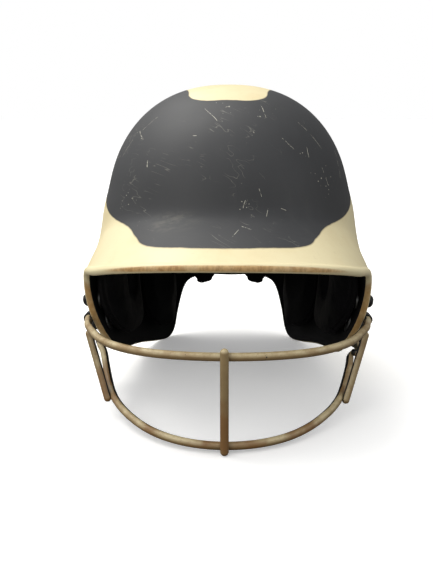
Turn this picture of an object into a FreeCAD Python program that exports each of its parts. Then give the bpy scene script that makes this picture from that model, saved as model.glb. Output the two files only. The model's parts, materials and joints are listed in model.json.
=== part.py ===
import FreeCAD, Part
import math
import os

# Batting helmet with a wire face guard.
# The helmet faces -Y, +X is the wearer's left and +Z is up.
# Pieces are modelled upright from the head axis, with the ear-flap bottoms at Z = 0. Every
# piece is then placed the way the helmet rests on a table: tipped back, on the bottom of
# its guard and its two rear corners, with the origin at the bottom centre of the whole.

DIMENSIONS = [
    # Placement of the head axis in the part's frame, and the tip back at rest, in degrees
    ("rest_tilt", 2.95),
    ("origin_shift_y", 21.317),
    ("origin_shift_z", 24.051),
    # Dome
    ("dome_half_width", 96.0),
    ("dome_front_reach", 118.0),
    ("dome_back_reach", 122.0),
    ("dome_equator_height", 100.0),
    ("dome_rise", 107.5),
    ("dome_apex_shift", 8.0),
    ("dome_profile_power", 2.3),
    ("dome_plan_power", 2.2),
    ("brim_root_lift", 16.0),
    ("shoulder_step", 3.2),
    # Shell wall and the rounded bead along its edge
    ("wall_thickness", 3.6),
    ("bead_height", 1.3),
    ("bead_length", 4.5),
    # Openings in the shell
    ("ear_port_radius", 12.5),
    ("ear_port_y", 4.0),
    ("ear_port_z", 58.0),
    ("vent_width", 7.0),
    ("vent_length", 24.0),
    ("ear_hollow_radius", 20.0),
    # Pads and the patches behind them
    ("patch_gap", 0.25),
    ("patch_thickness", 1.9),
    ("pad_gap", 3.0),
    ("crown_pad_thickness", 13.0),
    ("side_pad_thickness", 12.0),
    ("jaw_pad_thickness", 16.0),
    ("nape_pad_thickness", 11.0),
    # Guard wires
    ("wire_radius", 2.75),
    ("link_radius", 2.6),
    ("weld_overlap", 0.5),
    ("top_bar_end_y", -32.0),
    ("bottom_bar_end_y", -20.0),
    # Guard clips and their screws
    ("clip_width", 11.0),
    ("clip_sheet", 1.3),
    ("clip_running_gap", 0.08),
    ("clip_drop", 13.5),
    ("clip_standoff", 0.4),
    ("upper_clip_y", -44.0),
    ("upper_clip_z", 45.0),
    ("lower_clip_y", -32.0),
    ("lower_clip_z", 24.5),
    ("screw_radius", 2.1),
    ("screw_head_radius", 4.7),
    ("screw_head_height", 2.6),
    ("washer_radius", 5.2),
    ("washer_thickness", 0.6),
    ("nut_barrel_radius", 2.9),
    ("nut_flange_radius", 7.5),
    ("nut_flange_thickness", 1.1),
    ("nut_gap", 0.95),
    ("shell_hole_radius", 3.1),
]

# Shell edge, one side, by azimuth from the front: azimuth in degrees, then x, y, z.
# Brim front, brim corner, ear-flap front edge, flap bottom, rear corner, ponytail arch.
EDGE_STATIONS = [
    (0, 0.0, -165.0, 89.0),
    (12, 30.0, -161.5, 88.3),
    (24, 58.0, -150.0, 85.8),
    (36, 80.0, -131.0, 81.5),
    (46, 93.0, -109.0, 76.5),
    (53, 99.5, -90.0, 73.5),
    (58, 103.0, -76.0, 69.0),
    (64, 104.3, -66.5, 55.0),
    (70, 101.8, -59.0, 36.0),
    (76, 95.2, -50.0, 17.0),
    (83, 88.6, -34.0, 3.0),
    (92, 85.8, -14.0, -2.5),
    (104, 83.2, 13.0, -6.0),
    (118, 77.5, 46.0, -11.5),
    (131, 68.5, 76.0, -17.5),
    (142, 58.5, 95.5, -18.0),
    (150, 52.8, 103.5, -8.0),
    (157, 48.0, 109.5, 13.0),
    (162, 43.0, 113.5, 30.5),
    (168, 32.0, 116.0, 36.8),
    (180, 0.0, 118.5, 37.5),
]

# Outward swell of the wall between the dome and the edge: azimuth in degrees, mm.
SWELL_STATIONS = [
    (0, 0.0), (36, 0.5), (52, 1.5), (64, 3.5), (74, 7.0), (88, 10.5), (112, 9.5), (140, 6.0),
    (180, 4.0),
]

# How far the brim root (1) or the plain dome (0) applies: azimuth in degrees, share.
ROOT_STATIONS = [(0, 1.0), (30, 0.97), (50, 0.62), (66, 0.16), (80, 0.0), (180, 0.0)]

# Strength of the shoulder above the ears: azimuth in degrees, share.
SHOULDER_STATIONS = [
    (0, 0.0), (38, 0.0), (56, 0.7), (72, 1.0), (120, 1.0), (150, 0.45), (165, 0.0), (180, 0.0),
]

doc = FreeCAD.newDocument("batting_helmet")
sheet = doc.addObject("Spreadsheet::Sheet", "Dims")
for row, (alias, size) in enumerate(DIMENSIONS, start=1):
    sheet.set("A%d" % row, alias.replace("_", " "))
    sheet.set("B%d" % row, str(size))
    sheet.setAlias("B%d" % row, alias)
doc.recompute()

SIZES = {alias: float(sheet.get(alias)) for alias, size in DIMENSIONS}
SUB_PARTS = []


def dim(alias):
    """Size of a named cell of the sheet."""
    return SIZES[alias]


def vec(x, y, z):
    return FreeCAD.Vector(x, y, z)


AT_REST = FreeCAD.Placement(
    vec(0, dim("origin_shift_y"), dim("origin_shift_z")),
    FreeCAD.Rotation(vec(1, 0, 0), -dim("rest_tilt")))


def keep(obj, label, local=None):
    """Registers a finished sub-part and places it in the helmet's frame."""
    obj.Label = label
    obj.Placement = AT_REST.multiply(local) if local else AT_REST
    SUB_PARTS.append(obj)
    return obj


# ---------------------------------------------------------------- shell geometry

def smooth_table(stations, angle, column=1):
    """Monotone-friendly cubic through (degrees, value...) stations, even about both ends."""
    knots = [station[0] for station in stations]
    values = [station[column] for station in stations]
    last = len(knots) - 1
    index = 0
    while index < last - 1 and angle > knots[index + 1]:
        index += 1

    def slope(i):
        if i == 0 or i == last:
            return 0.0
        before = (values[i] - values[i - 1]) / (knots[i] - knots[i - 1])
        after = (values[i + 1] - values[i]) / (knots[i + 1] - knots[i])
        span = knots[i + 1] - knots[i - 1]
        return (before * (knots[i + 1] - knots[i]) + after * (knots[i] - knots[i - 1])) / span

    width = knots[index + 1] - knots[index]
    ratio = (angle - knots[index]) / width
    start_slope = slope(index) * width
    end_slope = slope(index + 1) * width
    square = ratio * ratio
    cube = square * ratio
    return (
        (2 * cube - 3 * square + 1) * values[index]
        + (cube - 2 * square + ratio) * start_slope
        + (3 * square - 2 * cube) * values[index + 1]
        + (cube - square) * end_slope
    )


def fold(angle):
    """Azimuth in degrees folded to one side, with the side's sign."""
    angle = (angle + 180.0) % 360.0 - 180.0
    return (abs(angle), -1.0 if angle < 0 else 1.0)


def edge_point(angle):
    half, side = fold(angle)
    # x runs through zero at both ends, so its end slopes come from mirrored stations.
    mirrored = [(-s[0], -s[1]) for s in reversed(EDGE_STATIONS[1:4])]
    mirrored += [(s[0], s[1]) for s in EDGE_STATIONS]
    mirrored += [(360 - s[0], -s[1]) for s in reversed(EDGE_STATIONS[-4:-1])]
    x = smooth_table(mirrored, half)
    y = smooth_table(EDGE_STATIONS, half, 2)
    z = smooth_table(EDGE_STATIONS, half, 3)
    return vec(side * x, y, z)


def smooth_step(value):
    value = min(1.0, max(0.0, value))
    return value * value * (3.0 - 2.0 * value)


def dome_point(angle, share):
    """Dome surface: share 0 is the apex, share 1 is the brim root or the equator."""
    half, side = fold(angle)
    turn = math.radians(half)
    power = 2.0 / dim("dome_profile_power")
    lift = dim("brim_root_lift") * smooth_table(ROOT_STATIONS, half)
    lowest = math.acos((lift / dim("dome_rise")) ** (1.0 / power)) if lift > 0 else math.pi / 2
    polar = share * lowest
    spread = math.sin(polar) ** power if polar > 0 else 0.0
    rise = max(math.cos(polar), 0.0) ** power
    plan = 2.0 / dim("dome_plan_power")
    sideways = math.sin(turn) ** plan if turn > 0 and half < 180 else 0.0
    ahead = math.copysign(abs(math.cos(turn)) ** plan, math.cos(turn))
    reach = dim("dome_front_reach") if ahead > 0 else dim("dome_back_reach")
    step = dim("shoulder_step") * smooth_table(SHOULDER_STATIONS, half)
    step *= smooth_step((dim("dome_equator_height") + 27.0
                         - (dim("dome_equator_height") + dim("dome_rise") * rise)) / 13.0)
    x = side * sideways * (dim("dome_half_width") * spread * (1.0 - 0.03 * ahead * spread) + step)
    y = -ahead * (reach * spread + step) + dim("dome_apex_shift") * rise * rise
    z = dim("dome_equator_height") + dim("dome_rise") * rise
    return vec(x, y, z)


def raw_point(angle, level):
    """Outer surface before the brim root is eased: level 0 apex, 1 root, 2 edge."""
    if level <= 1.0:
        return dome_point(angle, max(level, 0.0))
    share = level - 1.0
    root = dome_point(angle, 1.0)
    edge = edge_point(angle)
    half, side = fold(angle)
    turn = math.radians(half)
    outward = vec(side * math.sin(turn), -math.cos(turn), 0)
    swell = smooth_table(SWELL_STATIONS, half) * share * max(1.0 - share, 0.0) ** 0.8 / 0.29
    return root * (1.0 - share) + edge * share + outward * swell


def outer_point(angle, level):
    """Outer surface with an eased fold at the brim root."""
    reach = 0.07 * max(0.0, 1.0 - abs(level - 1.0) / 0.2)
    point = raw_point(angle, level)
    if reach == 0.0:
        return point
    spread = raw_point(angle, level - reach) + raw_point(angle, level + reach)
    return point * 0.5 + spread * 0.25


def outer_frame(angle, level):
    """Point, unit normal and unit direction towards the edge on the outer surface."""
    level = max(level, 0.004)
    point = outer_point(angle, level)
    step = 0.01
    down = outer_point(angle, level + step) - outer_point(angle, level - step)
    around = outer_point(angle + 0.5, level) - outer_point(angle - 0.5, level)
    normal = down.cross(around)
    normal.normalize()
    down.normalize()
    return point, normal, down


def inside_point(angle, level, depth):
    """Point a given depth under the outer surface."""
    if level <= 0.004:
        return outer_point(0, 0) - vec(0, 0, depth)
    point, normal, down = outer_frame(angle, level)
    return point - normal * depth


def closed_skin(rows):
    """Solid bounded by a smooth surface over rows of points, closed around each row.

    The first and last rows shrink to one point, so the surface closes at both ends.
    """
    columns = len(rows[0])
    poles = [[row[column] for row in rows] for column in range(columns)]
    around_knots = [float(i) for i in range(columns + 1)]
    around_multiplicities = [1] * (columns + 1)
    spans = len(rows) - 3
    along_knots = [float(i) for i in range(spans + 1)]
    along_multiplicities = [4] + [1] * (spans - 1) + [4]
    surface = Part.BSplineSurface()
    surface.buildFromPolesMultsKnots(
        poles, around_multiplicities, along_multiplicities,
        around_knots, along_knots, True, False, 3, 3)
    solid = Part.Solid(Part.Shell([surface.toShape()]))
    if solid.Volume < 0:
        solid.reverse()
    return solid


SHELL_COLUMNS = 108
DOME_ROWS = 16
SKIRT_ROWS = 11
SKIRT_END = 0.955


def shell_skin():
    """The moulded wall: outer surface, rounded bead along the edge, inner surface."""
    wall = dim("wall_thickness")
    bead = dim("bead_height")
    reach = dim("bead_length")
    angles = [360.0 * i / SHELL_COLUMNS for i in range(SHELL_COLUMNS)]
    levels = [i / DOME_ROWS for i in range(DOME_ROWS + 1)]
    levels += [1.0 + SKIRT_END * (i + 1) / SKIRT_ROWS for i in range(SKIRT_ROWS)]
    # Edge profile: distance back from the edge, height over the outer surface.
    profile = [
        (reach, 0.1),
        (0.75 * reach, bead),
        (0.25 * reach, bead),
        (-0.1 * reach, 0.35 * bead),
        (-0.25 * reach, -0.5 * wall),
        (-0.1 * reach, -wall - 0.2 * bead),
        (0.25 * reach, -wall - 0.4 * bead),
        (0.75 * reach, -wall - 0.3 * bead),
    ]
    rows = [[outer_point(0, 0)] * SHELL_COLUMNS]
    for level in levels[1:-1]:
        rows.append([outer_point(angle, level) for angle in angles])
    for back, height in profile:
        row = []
        for angle in angles:
            edge, normal, down = outer_frame(angle, 2.0)
            row.append(edge - down * back + normal * height)
        rows.append(row)
    for level in reversed(levels[1:-1]):
        rows.append([inside_point(angle, level, wall) for angle in angles])
    rows.append([inside_point(0, 0, wall)] * SHELL_COLUMNS)
    return closed_skin(rows)


skin = doc.addObject("Part::Feature", "ShellSkin")
skin.Shape = shell_skin()


# ---------------------------------------------------------------- small helpers

def primitive(kind, name, sizes, placement=None):
    """A Part primitive whose sizes are bound to cells, or to expressions of cells."""
    obj = doc.addObject("Part::" + kind, name)
    for prop, size in sizes.items():
        if isinstance(size, str):
            obj.setExpression(prop, size)
        else:
            setattr(obj, prop, size)
    if placement:
        obj.Placement = placement
    return obj


def fused(name, objects):
    fuse = doc.addObject("Part::MultiFuse", name)
    fuse.Shapes = objects
    return fuse


def cut(name, base, tool):
    result = doc.addObject("Part::Cut", name)
    result.Base = base
    result.Tool = tool
    return result


def group(name, objects):
    compound = doc.addObject("Part::Compound", name)
    compound.Links = objects
    return compound


def axes(position, x_axis, z_axis):
    """Placement with the given local X and Z directions at a position."""
    y_axis = z_axis.cross(x_axis)
    rotation = FreeCAD.Rotation(x_axis, y_axis, z_axis, "ZXY")
    return FreeCAD.Placement(position, rotation)


def flap_spot(y, z):
    """Point and outward normal on the outside of the +X ear flap at a given y and z."""
    angle = 85.0
    level = 1.6
    for attempt in range(40):
        point = outer_point(angle, level)
        miss_y = y - point.y
        miss_z = z - point.z
        if abs(miss_y) + abs(miss_z) < 1e-6:
            break
        by_angle = (outer_point(angle + 0.05, level) - point) * 20.0
        by_level = (outer_point(angle, level + 0.0005) - point) * 2000.0
        scale = by_angle.y * by_level.z - by_level.y * by_angle.z
        angle += (miss_y * by_level.z - by_level.y * miss_z) / scale
        level += (by_angle.y * miss_z - miss_y * by_angle.z) / scale
    point, normal, down = outer_frame(angle, level)
    return point, normal


def clip_seat(y, z, side):
    """Frame of a clip: Z out of the flap, X along the wires (the helmet's Y)."""
    point, normal = flap_spot(y, z)
    out = vec(side * normal.x, 0, normal.z)
    out.normalize()
    spot = vec(side * point.x, point.y, point.z) + out * dim("clip_standoff")
    return axes(spot, vec(0, 1, 0) * side, out)


def clip_wire_centre(y, z):
    """Where a clip on the +X side holds its wire's axis."""
    seat = clip_seat(y, z, 1)
    ring = dim("wire_radius") + dim("clip_running_gap") + dim("clip_sheet")
    return seat.multVec(vec(0, -dim("clip_drop"), ring))


# ---------------------------------------------------------------- shell

ear_y = dim("ear_port_y")
ear_z = dim("ear_port_z")
openings = []
for side, tag in ((1, "Left"), (-1, "Right")):
    openings.append(primitive(
        "Cylinder", "EarPort" + tag, {"Radius": "Dims.ear_port_radius", "Height": 60.0},
        axes(vec(side * 75.0, ear_y, ear_z), vec(0, 1, 0), vec(side, 0, 0))))
    for index, (angle, level) in enumerate(((150.0, 0.62), (128.0, 0.66))):
        point, normal, down = outer_frame(angle * side, level)
        frame = axes(point - normal * 12.0, down, normal)
        slot_parts = [primitive(
            "Box", "VentBody%s%d" % (tag, index),
            {"Length": "Dims.vent_length", "Width": "Dims.vent_width", "Height": 24.0},
            frame.multiply(FreeCAD.Placement(
                vec(-0.5 * dim("vent_length"), -0.5 * dim("vent_width"), 0), FreeCAD.Rotation())))]
        for end in (-1, 1):
            slot_parts.append(primitive(
                "Cylinder", "VentEnd%s%d%s" % (tag, index, "AB"[end > 0]),
                {"Radius": "Dims.vent_width / 2", "Height": 24.0},
                frame.multiply(FreeCAD.Placement(
                    vec(0.5 * end * dim("vent_length"), 0, 0), FreeCAD.Rotation()))))
        openings += slot_parts

seats = []
for y_name, z_name, tag in (("upper_clip_y", "upper_clip_z", "upper"),
                            ("lower_clip_y", "lower_clip_z", "lower")):
    for side, side_tag in ((1, "left"), (-1, "right")):
        seat = clip_seat(dim(y_name), dim(z_name), side)
        seats.append((tag, side_tag, seat))
        openings.append(primitive(
            "Cylinder", "ScrewHole_%s_%s" % (tag, side_tag),
            {"Radius": "Dims.shell_hole_radius", "Height": 20.0},
            seat.multiply(FreeCAD.Placement(vec(0, 0, -15), FreeCAD.Rotation()))))

shell = cut("Shell", skin, fused("ShellOpenings", openings))
keep(shell, "shell")


# ---------------------------------------------------------------- pads

# Pad section: share of the outline, share of the thickness, from the middle of the face
# against the shell, round the edge, to the middle of the face against the head.
PAD_SECTION = [
    (0.0, 0.0), (0.35, 0.0), (0.7, 0.0), (0.9, 0.0), (1.0, 0.08), (1.02, 0.4), (1.0, 0.72),
    (0.92, 0.93), (0.75, 1.0), (0.5, 1.03), (0.25, 1.05), (0.0, 1.06),
]
PAD_COLUMNS = 36
PATCH_COLUMNS = 20


def pad_solid(middle, half, gap, thickness, squareness=3.2, columns=PAD_COLUMNS):
    """Cushion on the inside of the shell.

    middle and half are (azimuth, level) pairs, gap is the space to the wall, and
    squareness shapes the outline.
    """
    rows = []
    depth = dim("wall_thickness") + gap
    for outline, through in PAD_SECTION:
        row = []
        for column in range(columns):
            turn = 2.0 * math.pi * column / columns
            across = math.copysign(abs(math.cos(turn)) ** (2.0 / squareness), math.cos(turn))
            along = math.copysign(abs(math.sin(turn)) ** (2.0 / squareness), math.sin(turn))
            level = middle[1] + half[1] * outline * along
            angle = middle[0] + half[0] * outline * across
            row.append(inside_point(angle, level, depth + thickness * through))
        rows.append(row)
    return closed_skin(rows)


def crown_solid(gap, thickness, reach):
    """Round cushion under the top of the dome."""
    depth = dim("wall_thickness") + gap
    angles = [360.0 * column / PAD_COLUMNS for column in range(PAD_COLUMNS)]
    return closed_skin([
        [inside_point(angle, reach * outline, depth + thickness * through) for angle in angles]
        for outline, through in PAD_SECTION])


def formed(name, solid):
    """A piece whose curved solid is set by its own function."""
    feature = doc.addObject("Part::Feature", name)
    feature.Shape = solid
    return feature


pad_gap = dim("pad_gap")
side_pad = dim("side_pad_thickness")
jaw_pad = dim("jaw_pad_thickness")
nape_pad = dim("nape_pad_thickness")

keep(formed("CrownPad", crown_solid(pad_gap, dim("crown_pad_thickness"), 0.44)),
     "crown_pad")
keep(formed("ForeheadPad", pad_solid((0, 0.735), (47, 0.215), pad_gap, side_pad)),
     "forehead_pad")
for side, tag in ((1, "left"), (-1, "right")):
    keep(formed("TemplePad_" + tag,
                pad_solid((side * 80, 0.77), (side * 26, 0.22), pad_gap, side_pad)),
         "temple_pad_" + tag)
    jaw_skin = formed("JawSkin_" + tag,
                      pad_solid((side * 86, 1.51), (side * 28.5, 0.43), pad_gap, jaw_pad, 4.5))
    ear_hollow = primitive(
        "Cylinder", "EarHollow_" + tag, {"Radius": "Dims.ear_hollow_radius", "Height": 60.0},
        axes(vec(side * 60.0, ear_y, ear_z), vec(0, 1, 0), vec(side, 0, 0)))
    keep(cut("JawPad_" + tag, jaw_skin, ear_hollow), "jaw_pad_" + tag)
    keep(formed("RearSidePad_" + tag,
                pad_solid((side * 134, 1.37), (side * 15.5, 0.55), pad_gap, side_pad, 3.6)),
         "rear_side_pad_" + tag)
    keep(formed("NapePad_" + tag,
                pad_solid((side * 170.5, 1.47), (side * 7.0, 0.57), pad_gap, nape_pad, 2.8)),
         "nape_pad_" + tag)

PATCH_SPOTS = [(0, 0.74), (24, 0.74), (-24, 0.74)]
for side in (1, -1):
    PATCH_SPOTS += [(side * 78, 0.8), (side * 70, 1.3), (side * 129, 1.15), (side * 129, 1.6),
                    (side * 170.5, 1.2), (side * 170.5, 1.6), (side * 90, 0.3)]
patches = []
for index, spot in enumerate(PATCH_SPOTS):
    half_angle = 11.0 if abs(spot[1]) < 0.5 else 5.0
    half_level = 0.07 if spot[1] < 1.0 else 0.09
    patches.append(formed("Patch%d" % index, pad_solid(
        spot, (half_angle, half_level), dim("patch_gap"), dim("patch_thickness"), 5.0,
        PATCH_COLUMNS)))
keep(group("HookPatches", patches), "hook_patches")


# ---------------------------------------------------------------- guard clips and screws

for tag, side_tag, seat in seats:
    name = "%s_%s" % (tag, side_tag)
    ring_height = "Dims.wire_radius + Dims.clip_running_gap + Dims.clip_sheet"
    ring = dim("wire_radius") + dim("clip_running_gap") + dim("clip_sheet")
    along_wire = FreeCAD.Rotation(vec(0, 1, 0), 90)
    ring_start = FreeCAD.Placement(
        vec(-0.5 * dim("clip_width"), -dim("clip_drop"), ring), along_wire)
    solid_parts = [
        primitive("Cylinder", "ClipRing_" + name,
                  {"Radius": ring_height, "Height": "Dims.clip_width"}, ring_start),
        primitive("Box", "ClipTab_" + name,
                  {"Length": "Dims.clip_width", "Width": "Dims.clip_drop",
                   "Height": "Dims.clip_sheet"},
                  FreeCAD.Placement(vec(-0.5 * dim("clip_width"), -dim("clip_drop"), 0),
                                    FreeCAD.Rotation())),
        primitive("Cylinder", "ClipTabEnd_" + name,
                  {"Radius": "Dims.clip_width / 2", "Height": "Dims.clip_sheet"}),
    ]
    hollow_parts = [
        primitive("Cylinder", "ClipBore_" + name,
                  {"Radius": "Dims.wire_radius + Dims.clip_running_gap",
                   "Height": "Dims.clip_width + 4"},
                  FreeCAD.Placement(vec(-0.5 * dim("clip_width") - 2, -dim("clip_drop"), ring),
                                    along_wire)),
        primitive("Cylinder", "ClipHole_" + name,
                  {"Radius": "Dims.screw_radius + 0.2", "Height": "Dims.clip_sheet + 4"},
                  FreeCAD.Placement(vec(0, 0, -2), FreeCAD.Rotation())),
    ]
    clip = cut("Clip_" + name, fused("ClipSolid_" + name, solid_parts),
               fused("ClipHollow_" + name, hollow_parts))
    keep(clip, "%s_clip_%s" % (tag, side_tag), seat)

screws = []
washers = []
nuts = []
for tag, side_tag, seat in seats:
    name = "%s_%s" % (tag, side_tag)
    washer_base = dim("clip_sheet") + 0.02
    head_base = washer_base + dim("washer_thickness") + 0.02
    nut_face = -dim("wall_thickness") - dim("clip_standoff") - dim("nut_gap")
    tip = nut_face - dim("nut_flange_thickness") + 0.2

    washer = cut("Washer_" + name,
                 primitive("Cylinder", "WasherDisc_" + name,
                           {"Radius": "Dims.washer_radius", "Height": "Dims.washer_thickness"},
                           FreeCAD.Placement(vec(0, 0, washer_base), FreeCAD.Rotation())),
                 primitive("Cylinder", "WasherHole_" + name,
                           {"Radius": "Dims.screw_radius + 0.15", "Height": 4.0},
                           FreeCAD.Placement(vec(0, 0, washer_base - 1), FreeCAD.Rotation())))
    washer.Placement = seat
    washers.append(washer)

    screw = fused("Screw_" + name, [
        primitive("Ellipsoid", "ScrewHead_" + name,
                  {"Radius1": "Dims.screw_head_height", "Radius2": "Dims.screw_head_radius",
                   "Radius3": "Dims.screw_head_radius", "Angle1": 0.0, "Angle2": 90.0},
                  FreeCAD.Placement(vec(0, 0, head_base), FreeCAD.Rotation())),
        primitive("Cylinder", "ScrewShank_" + name,
                  {"Radius": "Dims.screw_radius", "Height": head_base + 0.5 - tip},
                  FreeCAD.Placement(vec(0, 0, tip), FreeCAD.Rotation())),
    ])
    screw.Placement = seat
    screws.append(screw)

    nut = cut("Nut_" + name, fused("NutSolid_" + name, [
        primitive("Cylinder", "NutFlange_" + name,
                  {"Radius": "Dims.nut_flange_radius", "Height": "Dims.nut_flange_thickness"},
                  FreeCAD.Placement(vec(0, 0, nut_face - dim("nut_flange_thickness")),
                                    FreeCAD.Rotation())),
        primitive("Cylinder", "NutBarrel_" + name,
                  {"Radius": "Dims.nut_barrel_radius", "Height": -nut_face - 0.3},
                  FreeCAD.Placement(vec(0, 0, nut_face), FreeCAD.Rotation())),
    ]), primitive("Cylinder", "NutThread_" + name,
                  {"Radius": "Dims.screw_radius + 0.05", "Height": 12.0},
                  FreeCAD.Placement(vec(0, 0, nut_face - 4), FreeCAD.Rotation())))
    nut.Placement = seat
    nuts.append(nut)
keep(group("Screws", screws), "clip_screws")
keep(group("Washers", washers), "clip_washers")
keep(group("Nuts", nuts), "clip_t_nuts")


# ---------------------------------------------------------------- wire guard

# Section of a bar as one smooth surface: poles round the ring, and the share of the true
# radius at which a cubic surface puts its skin when its poles lie on the true circle.
RING_COLUMNS = 12
RING_PULL = (2.0 + math.cos(2.0 * math.pi / RING_COLUMNS)) / 3.0
# Eased rim of each cut end: share of the radius inwards from the end, share of the radius.
END_SECTION = [(0.0, 0.72), (0.03, 0.93), (0.3, 1.0), (0.8, 1.0), (1.6, 1.0)]
BEND_SAMPLES = 56


def capped_tube(rows):
    """Solid of a smooth tube over rings of points, closed by a flat face at each end."""
    columns = len(rows[0])
    poles = [[row[column] for row in rows] for column in range(columns)]
    spans = len(rows) - 3
    tube = Part.BSplineSurface()
    tube.buildFromPolesMultsKnots(
        poles, [1] * (columns + 1), [4] + [1] * (spans - 1) + [4],
        [float(i) for i in range(columns + 1)], [float(i) for i in range(spans + 1)],
        True, False, 3, 3)
    faces = [tube.toShape()]
    for end in (0.0, float(spans)):
        rim = Part.Wire([tube.vIso(end).toShape()])
        faces.append(Part.Face(rim))
    shell = Part.Shell(faces)
    shell.sewShape()
    solid = Part.Solid(shell)
    if solid.Volume < 0:
        solid.reverse()
    return solid


def bar_solid(centre, end_y, straight_y, points):
    """Round wire: straight along Y at both ends, one smooth bend round the front."""
    radius = dim("wire_radius")
    along = vec(0, 1, 0)
    right_side = [vec(-p[0], p[1], p[2]) for p in points]
    left_side = [vec(p[0], p[1], p[2]) for p in reversed(points)]
    bend = Part.BSplineCurve()
    bend.interpolate(
        Points=([vec(-centre.x, straight_y, centre.z)] + right_side + left_side[1:]
                + [vec(centre.x, straight_y, centre.z)]),
        InitialTangent=along * -1.0, FinalTangent=along)

    rings = []
    straight_steps = 4
    for step in range(straight_steps):
        y = end_y + (straight_y - end_y) * step / straight_steps
        rings.append((vec(-centre.x, y, centre.z), along * -1.0))
    for point_value in bend.discretize(Number=BEND_SAMPLES + 1):
        tangent = bend.tangent(bend.parameter(point_value))[0]
        tangent.normalize()
        rings.append((point_value, tangent))
    for step in range(straight_steps):
        y = straight_y + (end_y - straight_y) * (step + 1) / straight_steps
        rings.append((vec(centre.x, y, centre.z), along))

    def ring(position, tangent, ring_radius):
        sideways = tangent.cross(vec(0, 0, 1))
        sideways.normalize()
        upward = sideways.cross(tangent)
        row = []
        for column in range(RING_COLUMNS):
            turn = 2.0 * math.pi * column / RING_COLUMNS
            row.append(position + sideways * (ring_radius * math.cos(turn))
                       + upward * (ring_radius * math.sin(turn)))
        return row

    full = radius / RING_PULL
    rows = []
    first, first_tangent = rings[0]
    last, last_tangent = rings[-1]
    for along_share, radius_share in END_SECTION:
        rows.append(ring(first + first_tangent * (radius * along_share), first_tangent,
                         full * radius_share))
    for position, tangent in rings[1:-1]:
        rows.append(ring(position, tangent, full))
    for along_share, radius_share in reversed(END_SECTION):
        rows.append(ring(last - last_tangent * (radius * along_share), last_tangent,
                         full * radius_share))
    return capped_tube(rows)


def round_rod(name, start, finish, radius_cell):
    """Straight rod with rounded ends between two points of its axis."""
    span = finish - start
    length = span.Length
    span.normalize()
    side = vec(0, 1, 0) if abs(span.y) < 0.9 else vec(1, 0, 0)
    side = side - span * side.dot(span)
    side.normalize()
    seat = axes(start, side, span)
    rod = fused(name, [
        primitive("Cylinder", name + "Rod", {"Radius": radius_cell, "Height": length}),
        primitive("Sphere", name + "EndA", {"Radius": radius_cell}),
        primitive("Sphere", name + "EndB", {"Radius": radius_cell},
                  FreeCAD.Placement(vec(0, 0, length), FreeCAD.Rotation())),
    ])
    return rod, seat


top_centre = clip_wire_centre(dim("upper_clip_y"), dim("upper_clip_z"))
bottom_centre = clip_wire_centre(dim("lower_clip_y"), dim("lower_clip_z"))

# Half of each bend, from the side round to the middle.
TOP_BEND = [
    (103.9, -62.0, 31.9), (101.2, -77.0, 32.6), (96.0, -94.0, 33.2), (88.0, -114.0, 32.8),
    (75.5, -135.0, 33.0), (57.0, -151.5, 33.2), (31.0, -162.0, 33.3), (0.0, -165.0, 33.2),
]
BOTTOM_BEND = [
    (94.0, -56.0, 8.0), (91.3, -65.0, 3.6), (87.6, -77.0, -5.2), (80.0, -98.0, -15.2),
    (68.5, -117.0, -20.7), (52.0, -136.0, -24.8), (29.0, -152.0, -26.9), (0.0, -158.0, -27.7),
]
keep(formed("TopBar", bar_solid(top_centre, dim("top_bar_end_y"), -50.5, TOP_BEND)),
     "guard_top_bar")
keep(formed("BottomBar", bar_solid(bottom_centre, dim("bottom_bar_end_y"), -40.0, BOTTOM_BEND)),
     "guard_bottom_bar")

weld = dim("wire_radius") + dim("wire_radius") - dim("weld_overlap")
centre_rod, centre_seat = round_rod(
    "CentreBar", vec(0, TOP_BEND[-1][1] - weld, TOP_BEND[-1][2] + 4.0),
    vec(0, BOTTOM_BEND[-1][1] - weld + 0.4, BOTTOM_BEND[-1][2] - 2.0), "Dims.wire_radius")
keep(centre_rod, "guard_centre_bar", centre_seat)
for side, tag in ((1, "left"), (-1, "right")):
    link_top = vec(side * 98.9, -86.0, 28.2)
    link_bottom = vec(side * 84.6, -98.8, -16.0)
    link, link_seat = round_rod("SideLink_" + tag, link_top, link_bottom, "Dims.link_radius")
    keep(link, "guard_side_link_" + tag, link_seat)


# ---------------------------------------------------------------- checks and export

doc.recompute()
for obj in doc.Objects:
    if "Invalid" in obj.State or "Error" in obj.State:
        raise RuntimeError("failed object: " + obj.Name)
for obj in SUB_PARTS:
    if obj.Shape.isNull() or not obj.Shape.isValid():
        raise RuntimeError("bad shape: " + obj.Label)

os.makedirs("parts", exist_ok=True)
for obj in SUB_PARTS:
    obj.Shape.exportStep(os.path.join("parts", obj.Label + ".step"))
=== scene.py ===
import json
import math

import bpy
import numpy as np
from mathutils import Euler, Matrix, Vector, noise
from mathutils.bvhtree import BVHTree

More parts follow.
